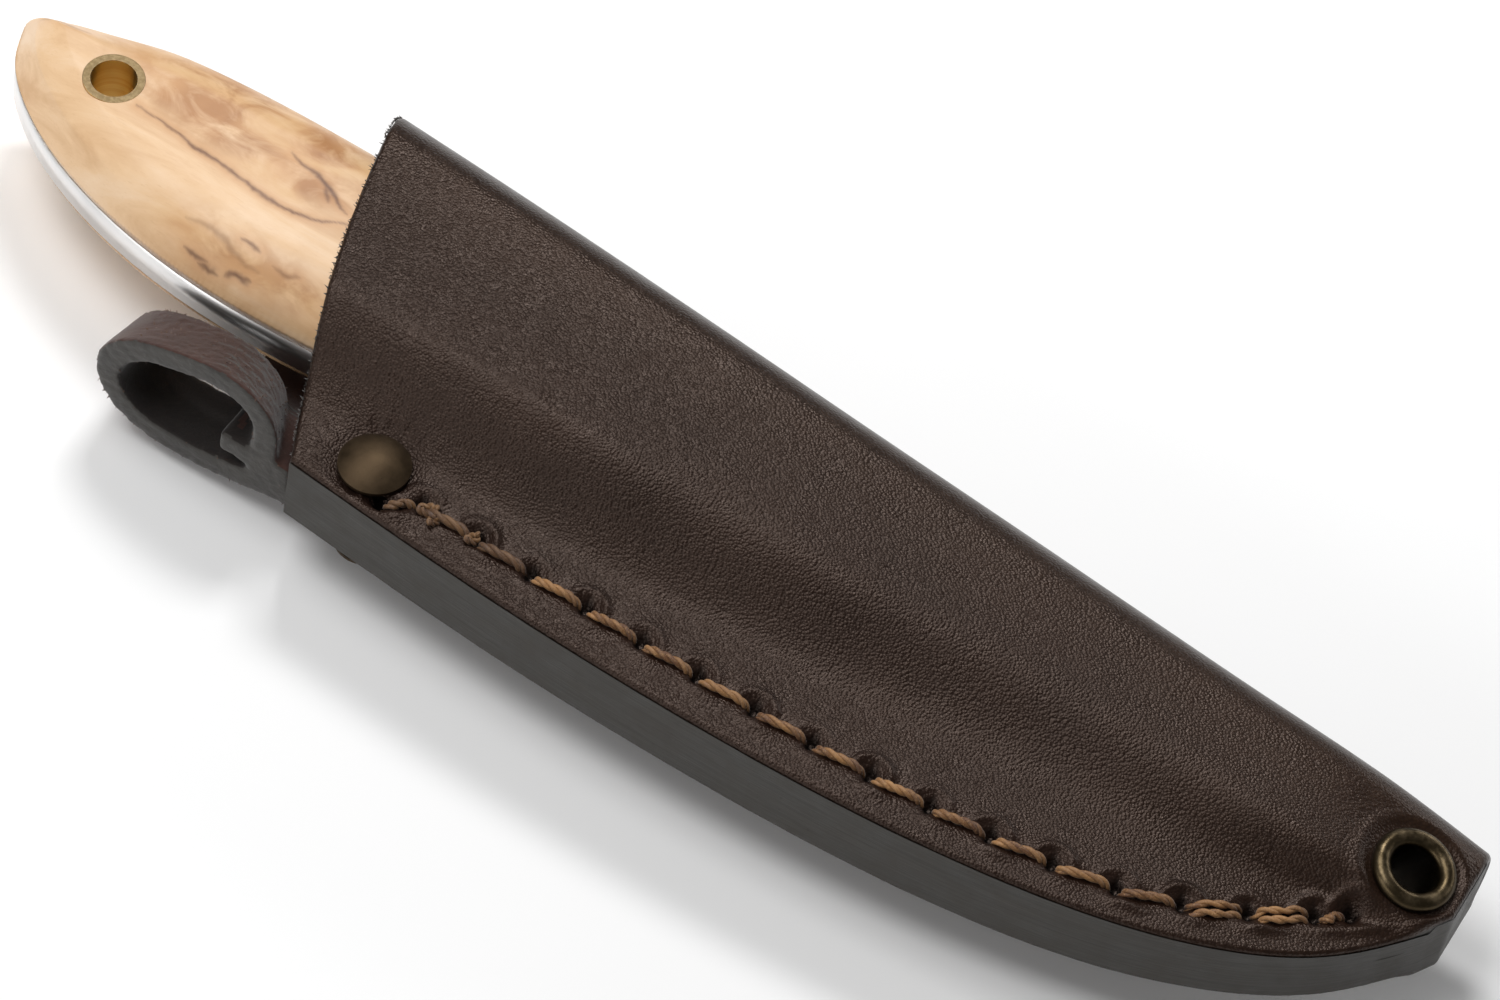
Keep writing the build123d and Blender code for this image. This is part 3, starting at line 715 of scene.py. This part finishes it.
# A stitch's path: distance after its first hole or (below zero) before its second, None half way, and the
# height above the hide.
STITCH_STOPS = [(0.55, -1.9), (0.80, -0.9), (1.25, 0.04), (1.9, 0.30), (None, 0.28), (-2.0, 0.10),
                (-1.30, -0.22), (-0.95, -0.9), (-0.70, -1.9)]


def make_stitches(front):
    """Twisted thread from hole to hole, sunk into each hole at both ends."""
    points, faces, colours = [], [], []
    total = 0
    sign = 1 if front else -1
    for i, (a, b) in enumerate(zip(HOLES, HOLES[1:])):
        run = (b - a) / np.linalg.norm(b - a)
        across = np.array([-run[1], run[0]])
        offsets = (-0.55, 0.55) if front and STITCH_COUNT - 1 <= i <= STITCH_COUNT else (0.0,)
        size = 1.12 if front and i < 3 else 1.0
        for doubled in offsets:
            path = []
            for step, level in STITCH_STOPS:
                if step is None:
                    spot, slant = (a + b) / 2, -0.26
                elif step > 0:
                    spot, slant = a + run * step, -0.45
                else:
                    spot, slant = b + run * step, -0.02
                spot = spot + across * (slant + doubled)
                if front:
                    level_z = float(front_height(spot[0], spot[1])) + level * size
                else:
                    level_z = float(back_height(spot[0], spot[1])) - level * size
                path.append((spot[0], spot[1], level_z))
            line = smooth_line(path, 46)
            side = np.array([across[0], across[1], 0.0])
            turns = 2.1 + 0.35 * math.sin(5.1 * i + doubled)
            plies, spread = (3, 0.25 * size) if doubled == 0 else (2, 0.22)
            for ply in range(plies):
                phase = 2.1 * ply + 1.3 * i
                made, quads, along = strand(line, side, 0.27 * size, spread, turns * sign, phase)
                points.append(made)
                faces.append(quads + total)
                total += len(made)
                tone = 0.45 + 0.35 * math.sin(2.2 * i + ply) + 0.2 * np.cos(9 * along + i)
                # Painted shade where the thread dives into the holes, and over the half that dips towards the
                # next one; the first three front stitches are darkened all along.
                sunk = np.clip(1.6 - 9 * np.minimum(along, 1 - along), 0, 1)
                sunk = np.maximum(sunk, 0.65 * np.clip(2.6 * along - 1.5, 0, 1))
                if front and i < 3:
                    sunk = np.maximum(sunk, 0.6)
                shades = np.stack([np.clip(tone, 0, 1), sunk, 0 * along], -1)
                colours.append(np.repeat(shades, PLY_SIDES, axis=0))
    name = "front_stitches" if front else "back_stitches"
    made = piece(name, np.concatenate(points), np.concatenate(faces).tolist(), [THREAD], "sheath")
    paint(made, "thread", np.concatenate(colours))
    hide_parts("front_thread" if front else "back_thread")


def make_knot():
    """The waxed knots that finish the seam beside the rivet."""
    points, faces, colours = [], [], []
    total = 0
    for centre, size, tilt in (((-25.4, -25.6), 0.95, 0.4), ((-24.2, -26.3), 0.62, 1.5),
                               ((-19.6, -25.9), 0.66, 0.9)):
        angle = np.linspace(0, 2 * math.pi, 40)
        wide, tall = size * np.cos(angle), 0.55 * size * np.sin(angle)
        loop = np.stack([centre[0] + wide * math.cos(tilt) - tall * math.sin(tilt),
                         centre[1] + wide * math.sin(tilt) + tall * math.cos(tilt)], -1)
        level = front_height(loop[:, 0], loop[:, 1]) + 0.25 + 0.22 * np.sin(2 * angle + tilt)
        path = np.concatenate([loop, level[:, None]], 1)
        for ply in range(2):
            made, quads, along = strand(path, np.array([0.0, 0.0, 1.0]), 0.3, 0.2, 3, 3.1 * ply)
            points.append(made)
            faces.append(quads + total)
            total += len(made)
            tone = 0.6 + 0.4 * np.sin(7 * along + ply)
            shades = np.stack([tone, 0.5 + 0 * along, 0 * along], -1)
            colours.append(np.repeat(shades, PLY_SIDES, axis=0))
    made = piece("seam_knots", np.concatenate(points), np.concatenate(faces).tolist(), [THREAD], "sheath")
    paint(made, "thread", np.concatenate(colours))


def make_holes():
    """Painted shade in the awl holes: near-black diamond-shaped cones sunk into both faces."""
    points, faces = [], []
    corners = 16
    for i, hole in enumerate(HOLES):
        before = HOLES[max(i - 1, 0)]
        after = HOLES[min(i + 1, len(HOLES) - 1)]
        run = (after - before) / np.linalg.norm(after - before)
        across = np.array([-run[1], run[0]])
        for front in (True, False):
            first = len(points)
            sign = 1 if front else -1
            base = float(front_height(*hole)) if front else -float(back_height(*hole))
            for k in range(corners):
                angle = 2 * math.pi * k / corners
                reach = 1.0 / (abs(math.cos(angle)) ** 1.3 + abs(math.sin(angle)) ** 1.3) ** (1 / 1.3)
                reach *= 1 + 0.10 * math.sin(3 * angle + 1.9 * i)
                spot = hole + run * 1.15 * reach * math.cos(angle)
                spot = spot + across * (0.15 + 1.25 * reach * math.sin(angle))
                points.append((spot[0], spot[1], sign * (base - 0.62)))
            points.append((hole[0], hole[1], sign * (base - 1.9)))
            for k in range(corners):
                face = (first + k, first + (k + 1) % corners, first + corners)
                faces.append(face if front else face[::-1])
    piece("awl_holes", points, faces, [HOLE_SHADE], "sheath")


def make_fibres(name, base, point, wide, material):
    """Loose leather fibres: thin pyramids from base points to their tips."""
    points, faces = [], []
    for i in range(len(base)):
        first = len(points)
        run = point[i] - base[i]
        side = np.cross(run, (0.3, 0.5, 0.8))
        side /= np.linalg.norm(side)
        other = np.cross(run, side) / np.linalg.norm(run)
        for k in range(4):
            angle = math.pi / 2 * k + i
            points.append(base[i] - 0.3 * run + wide[i] * (math.cos(angle) * side + math.sin(angle) * other))
        points.append(point[i])
        faces += [(first + k, first + (k + 1) % 4, first + 4) for k in range(4)]
    piece(name, points, faces, [material], "sheath")


def make_fray():
    """Fibres along the raw cut at the mouth."""
    count = FIBRE_COUNT
    rng = np.random.default_rng(11)
    row = rng.uniform(0.02, 3.98, count)
    level = np.where(rng.random(count) < 0.6, -0.15, rng.uniform(-LEATHER + 0.2, -0.05, count))
    base = np.stack(pouch_xyz(np.zeros(count), row, level), -1)
    reach = rng.uniform(0.15, 0.5, count) * rng.uniform(0.5, 1.0, count)
    point = base + np.stack([-reach, rng.normal(0, 0.12, count), rng.normal(0, 0.12, count)], -1)
    make_fibres("mouth_fray", base, point, rng.uniform(0.05, 0.13, count), RIM)


def make_root():
    """Lip of the back panel beyond the mouth, where the strap runs into it."""
    share, along = np.meshgrid(np.linspace(0, 1, 16), np.linspace(0, 1, 40), indexing="ij")
    y = -17.0 + 17.5 * along
    wide = 9.5 * np.clip(1 - along ** 2.2, 0, 1)
    x = mouth_x(y) + 0.8 - wide * share
    outer = back_height(x, y) + 0.25
    inner = outer + LEATHER - 0.9
    points = np.concatenate([np.stack([x, y, z], -1).reshape(-1, 3) for z in (outer, inner)])
    number = np.arange(x.size).reshape(x.shape)
    faces = grid_faces(16, 40) + grid_faces(16, 40, x.size, True)
    for line in (number[-1], number[::-1, 0]):
        faces += strip_faces(line, line + x.size)
    piece("strap_root", points, faces, [STRAP], "sheath")


# ---- belt loop ----
def evaluated(made):
    """The object's mesh with its modifiers worked out."""
    bpy.context.view_layer.update()
    return bpy.data.meshes.new_from_object(made.evaluated_get(bpy.context.evaluated_depsgraph_get()))


def make_strap():
    """The CAD strap, remeshed finely, softened at its edges and roughened where it was cut."""
    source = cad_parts["belt_loop"]
    copy = link("strap_build", source.data.copy())
    remesh = copy.modifiers.new("fine", "REMESH")
    remesh.mode = "VOXEL"
    remesh.voxel_size = 0.00036
    soften = copy.modifiers.new("soften", "SMOOTH")
    soften.factor = 0.5
    soften.iterations = 12
    mesh = evaluated(copy)
    bpy.data.objects.remove(copy)
    mesh.name = "strap"
    made = link("strap", mesh)
    mesh.materials.clear()
    for item in (STRAP, STRAP_EDGE, STRAP_GRAIN):
        mesh.materials.append(item)
    normals = np.zeros(len(mesh.vertices) * 3)
    mesh.vertices.foreach_get("normal", normals)
    normals = normals.reshape(-1, 3)
    points = own_points(made)
    rough = bumps(*points.T, 0.8, 3.0)
    coarse = bumps(*points.T, 2.6, 8.0)
    fray = np.where(np.abs(normals[:, 1]) > 0.35, 0.12, 0.02)
    points = points + normals * (rough * fray + 0.03 * coarse)[:, None]
    mesh.vertices.foreach_set("co", ((points + SHIFT) / 1000).ravel())
    facing = np.zeros(len(mesh.polygons) * 3)
    mesh.polygons.foreach_get("normal", facing)
    centre = np.zeros(len(mesh.polygons) * 3)
    mesh.polygons.foreach_get("center", centre)
    facing = facing.reshape(-1, 3)
    centre = centre.reshape(-1, 3) * 1000 - SHIFT
    far = (centre[:, 1] - STRAP_NEAR_Y) / STRAP_WIDTH
    to_middle_x, to_middle_z = -56.0 - 2.0 * far - centre[:, 0], -1.3 - 3.7 * far - centre[:, 2]
    inside = (to_middle_x * facing[:, 0] + to_middle_z * facing[:, 2] > 0) & (centre[:, 0] < -44.5)
    kinds = np.where(np.abs(facing[:, 1]) > 0.62, 1, np.where(inside, 2, 0))
    mesh.polygons.foreach_set("material_index", kinds)
    mesh.polygons.foreach_set("use_smooth", [True] * len(mesh.polygons))
    mesh.update()
    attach(made, "sheath")
    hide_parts("belt_loop")
    rng = np.random.default_rng(5)
    corner = np.flatnonzero((np.abs(normals[:, 1]) > 0.35) & (np.abs(normals[:, 1]) < 0.85))
    chosen = rng.choice(corner, FIBRE_COUNT, replace=False)
    base = points[chosen]
    point = base + (normals[chosen] + rng.normal(0, 0.5, base.shape)) * rng.uniform(0.1, 0.3, (FIBRE_COUNT, 1))
    make_fibres("strap_fray", base, point, rng.uniform(0.05, 0.13, FIBRE_COUNT), CRUMB)


# ---- handle ----
STREAKS = [  # points, half width, strength
    ([(-79.9, -1.2), (-78.0, -1.4), (-74.6, -1.6), (-71.8, -2.1), (-68.9, -2.2), (-66.6, -2.6), (-63.9, -2.9),
      (-61.1, -3.3), (-59.0, -3.3), (-56.9, -2.9), (-54.8, -2.3), (-53.3, -1.4), (-46.0, 2.0)], 0.30, 0.95),
    ([(-62.6, 3.6), (-61.0, 3.2), (-59.0, 2.8), (-57.3, 2.2), (-56.1, 1.7),
      (-54.6, 0.8), (-53.3, 0.1)], 0.34, 0.95),
    ([(-57.6, 2.6), (-56.4, 1.2), (-55.6, 0.2)], 0.3, 0.7),
    ([(-65.9, -12.1), (-64.6, -12.0), (-62.8, -12.4)], 0.26, 0.8),
    ([(-60.6, -9.0), (-57.8, -9.3)], 0.24, 0.9),
    ([(-67.3, -9.7), (-65.2, -9.7), (-63.9, -9.6), (-61.8, -10.1), (-59.2, -11.0), (-57.1, -11.2)], 0.35, 0.4),
    ([(-63.9, -12.5), (-62.2, -12.8), (-60.9, -12.6)], 0.24, 0.8),
    ([(-60.3, -12.4), (-58.9, -12.2), (-57.2, -12.1)], 0.26, 0.9),
    ([(-55.9, -10.2), (-54.0, -10.1), (-52.7, -9.7)], 0.35, 0.5),
    ([(-96.0, 3.8), (-92.2, 3.9), (-90.0, 4.5)], 0.25, 0.4),
    ([(-36.0, 4.0), (-24.0, 2.0), (-12.0, 2.6)], 0.3, 0.8),
    ([(-30.0, -6.0), (-20.0, -7.0)], 0.3, 0.6),
]


def figure_and_foot_shade(points):
    """Dark streaks, curly patches and warm clouds of the birch, and a painted shade line where the wood meets
    the tang, for every vertex.
    """
    x, y = points[:, 0], points[:, 1]
    x = x + 0.35 * bumps(x, y, points[:, 2], 2.2, 5.0)
    y = y + 0.30 * bumps(x, y, points[:, 2], 1.8, 7.0) + 0.12 * bumps(x, y, points[:, 2], 0.6, 2.0)
    streak_and_foot_shade = np.zeros(len(x))
    warm = np.zeros(len(x))
    for line, half, strength in STREAKS:
        gap, along = distance_to(line, x, y)
        taper = np.sqrt(np.sin(math.pi * np.clip(along, 0.02, 0.98)))
        width = half * (0.25 + 0.6 * taper)
        streak_and_foot_shade = np.maximum(streak_and_foot_shade, strength * (0.35 + 0.65 * taper) * np.exp(-(gap / width) ** 2))
        warm = np.maximum(warm, 0.75 * strength * np.exp(-(gap / 0.9) ** 2))
    boundary = np.interp(x, [-98, -80, -60, -50, -3], [2.5, -1.2, -3.3, 0.0, 0.5])
    mottled = np.clip((y - boundary) / 3.0, 0, 1) * np.clip((x + 92) / 14, 0.15, 1)
    low = np.exp(-((y + 11.0) / 2.6) ** 2) * np.clip((x + 74) / 8, 0, 1)
    mottled = np.maximum(mottled, 0.75 * low)
    warm = np.maximum(warm, 0.55 * np.clip(bumps(x, y, points[:, 2], 5.5, 11.0) * 1.6, 0, 1) * mottled)
    # Painted shade: a thin dark line along the foot, where the wood meets the tang.
    foot = np.exp(-((np.abs(points[:, 2]) - 2.0) / 0.16) ** 2)
    return np.stack([np.clip(streak_and_foot_shade + 0.8 * foot, 0, 1), mottled, np.clip(warm, 0, 1)], -1)


def make_scale(front):
    """Handle slab with a flat foot on the tang, fully rounded sides and a soft facet around the butt."""
    belly, spine = smooth_line(BELLY, 700), smooth_line(SPINE, 700)
    rows, columns = 190, 500
    share = np.linspace(0, 1, columns) ** 1.45
    x = -98.65 + 95.65 * share
    low = np.interp(x, belly[:, 0], belly[:, 1]) + 0.1
    high = np.interp(x, spine[:, 0], spine[:, 1]) - 0.1
    across = 0.5 - 0.5 * np.cos(math.pi * np.linspace(0, 1, rows))
    grid_x = np.broadcast_to(x, (rows, columns))
    grid_y = low + (high - low) * across[:, None]
    outline = np.concatenate([belly, spine])
    gap = np.full(grid_x.shape, 1e9)
    for spot in outline[::2]:
        gap = np.minimum(gap, np.hypot(grid_x - spot[0], grid_y - spot[1]))
    gap[0] = gap[-1] = 0
    gap[:, 0] = 0
    ahead = np.clip((grid_x + 97) / 17, 0, 1)
    ahead = ahead * ahead * (3 - 2 * ahead)
    spine_side = np.clip((grid_y - 0.5) / 5.0, 0, 1)
    reach = (3.0 + 4.0 * spine_side) * (1 - ahead) + (7.2 - 0.6 * spine_side) * ahead
    power = 1.15 + 0.1 * spine_side + 0.6 * ahead
    reach = reach * (1 - 0.6 * np.exp(-np.hypot(grid_x + 98.8, grid_y - 5.0) / 3.5))
    if not front:
        reach, power = reach + 1.2 * (1 - spine_side), power - 0.3 * ahead * (1 - spine_side)
    rest = 1 - np.clip(gap / reach, 0, 1)
    shape = (1 - rest ** power) ** (1 / power)
    facet = np.where(gap < 2.0, 0.31 * gap, 0.62 + 0.38 * np.clip((gap - 2.0) / 3.3, 0, 1) ** 0.75)
    bevelled = np.clip((-72 - grid_x) / 16, 0, 1) * (1 - spine_side) * 0.85
    shape = shape * (1 - bevelled) + facet * bevelled
    height = 6.5 - 1.4 * np.clip((grid_x + 52) / 49, 0, 1) ** 1.7
    front_gap = np.clip((-3.0 - grid_x) / 0.6, 0, 1)
    height = height - 0.35 * (1 - np.sqrt(np.clip(1 - (1 - front_gap) ** 2, 0, 1)))
    top = 2.0 + height * shape
    points = np.concatenate([np.stack([grid_x, grid_y, top], -1).reshape(-1, 3),
                             np.stack([grid_x, grid_y, np.full(grid_x.shape, 2.0)], -1).reshape(-1, 3)])
    count = grid_x.size
    number = np.arange(count).reshape(rows, columns)
    faces = grid_faces(rows, columns, 0, True) + grid_faces(rows, columns, count)
    faces += strip_faces(number[::-1, -1], number[::-1, -1] + count)
    if not front:
        points[:, 2] *= -1
        faces = [face[::-1] for face in faces]
    mesh = bpy.data.meshes.new("scale_build")
    mesh.from_pydata(((points + SHIFT) / 1000).tolist(), [], faces)
    build = link("scale_build", mesh)
    weld = build.modifiers.new("weld", "WELD")
    weld.merge_threshold = 1e-6
    cutters = []
    for (cx, cy), radius in HANDLE_HOLES:
        ring = np.linspace(0, 2 * math.pi, 65)[:-1]
        circle = np.stack([cx + radius * np.cos(ring), cy + radius * np.sin(ring)], -1)
        body = np.concatenate([np.c_[circle, np.full(64, -12.0)], np.c_[circle, np.full(64, 12.0)]])
        sides = [(k, (k + 1) % 64, 64 + (k + 1) % 64, 64 + k) for k in range(64)]
        tool_mesh = bpy.data.meshes.new("cutter")
        tool_mesh.from_pydata(((body + SHIFT) / 1000).tolist(), [],
                              sides + [tuple(range(63, -1, -1)), tuple(range(64, 128))])
        tool = link("cutter", tool_mesh)
        cut = build.modifiers.new("cut", "BOOLEAN")
        cut.operation = "DIFFERENCE"
        cut.solver = "EXACT"
        cut.object = tool
        cutters.append(tool)
    shaped = evaluated(build)
    for item in [build] + cutters:
        bpy.data.objects.remove(item)
    name = "wood_front" if front else "wood_back"
    shaped.name = name
    shaped.materials.clear()
    shaped.materials.append(BIRCH)
    shaped.polygons.foreach_set("use_smooth", [True] * len(shaped.polygons))
    made = link(name, shaped)
    sharp = shaped.attributes.new("sharp_edge", "BOOLEAN", "EDGE")
    places = own_points(made)
    ends = np.zeros(len(shaped.edges) * 2, int)
    shaped.edges.foreach_get("vertices", ends)
    pair = places[ends].reshape(-1, 2, 3)
    rims = np.zeros(len(pair), bool)
    for (cx, cy), radius in HANDLE_HOLES:
        on_wall = np.abs(np.hypot(pair[..., 0] - cx, pair[..., 1] - cy) - radius) < 0.02
        rims |= on_wall.all(1)
    sharp.data.foreach_set("value", rims)
    paint(made, "figure", figure_and_foot_shade(places))
    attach(made, "knife")
    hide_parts("front_scale" if front else "back_scale")


# ---- camera and light ----
CAMERA_TURN = (21.5, 53.0, 12.5)     # azimuth, elevation and roll in degrees
CAMERA_LENS = 156.0
CAMERA_DISTANCE = 0.700
LIGHTS = (  # name, place, size, watts, target
    ("rim", (0.45, 0.95, 0.42), (0.9, 0.22), 2.4, (0, 0, 0)),
    ("front", (-0.45, -1.0, 0.42), (1.1, 0.45), 4.4, (0, 0, 0)),
    ("top", (-0.45, -0.15, 1.15), (0.75, 0.65), 8.3, (0, 0, 0)),
    ("sheen", (-0.13, 0.25, 0.43), (0.17, 0.10), 1.15, (-0.01, 0, 0)),
)


def aim(azimuth, elevation, roll):
    """Right, up and backward directions of a camera."""
    az, el, ro = [math.radians(v) for v in (azimuth, elevation, roll)]
    back = Vector((math.sin(az) * math.cos(el), -math.cos(az) * math.cos(el), math.sin(el)))
    level = Vector((math.cos(az), math.sin(az), 0))
    raised = back.cross(level)
    right = math.cos(ro) * level + math.sin(ro) * raised
    return right, back.cross(right), back


def place_camera():
    right, up, back = aim(*CAMERA_TURN)
    camera_data = bpy.data.cameras.new("camera")
    camera_data.sensor_width = 36.0
    camera_data.lens = CAMERA_LENS
    camera_data.clip_start = 0.01
    camera = link("camera", camera_data)
    turn = Matrix((right, up, back)).transposed().to_4x4()
    centre = Vector(SHIFT / 1000)
    camera.matrix_world = Matrix.Translation(centre + back * CAMERA_DISTANCE) @ turn
    bpy.context.scene.camera = camera


def area_light(name, spot, size, power, target):
    light = bpy.data.lights.new(name, "AREA")
    light.shape = "RECTANGLE"
    light.size, light.size_y = size
    light.energy = power
    made = link(name, light)
    made.location = spot
    made.rotation_euler = (Vector(target) - Vector(spot)).to_track_quat("-Z", "Y").to_euler()


def stage():
    mesh = bpy.data.meshes.new("floor")
    mesh.from_pydata([(-4, -4, 0), (4, -4, 0), (4, 4, 0), (-4, 4, 0)], [], [(0, 1, 2, 3)])
    floor = link("floor", mesh)
    floor.location.z = CAD_BOUNDS[0][2] - 0.0002
    white = Surface("pale_floor", specular_ior_level=0.1, roughness=0.9)
    tone = white.noise(9, 2, 0.5)
    mesh.materials.append(white.finish(white.mix(tone, (0.93, 0.93, 0.93), (0.96, 0.96, 0.96))))
    world = bpy.data.worlds.new("studio")
    world.use_nodes = True
    background = world.node_tree.nodes["Background"]
    background.inputs["Color"].default_value = (1.0, 1.0, 1.0, 1.0)
    background.inputs["Strength"].default_value = 0.16
    bpy.context.scene.world = world
    for light in LIGHTS:
        area_light(*light)
    bpy.context.scene.view_settings.view_transform = "Standard"


# ---- build ----
# The CAD nodes that stay, with their better materials.
FINISHES = {"blade": STEEL, "lanyard_tube": TUBE, "handle_pins": TUBE, "welt": EDGE, "rivet_cap": BRASS,
            "rivet_post": BRASS, "eyelet": ROLLED, "eyelet_washer": BRASS}

make_pouch()
make_edge_skin()
make_stitches(True)
make_stitches(False)
make_knot()
make_holes()
make_fray()
make_root()
make_strap()
make_scale(True)
make_scale(False)
for node_name, finish_material in FINISHES.items():
    for node_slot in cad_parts[node_name].material_slots:
        node_slot.material = finish_material
place_camera()
stage()
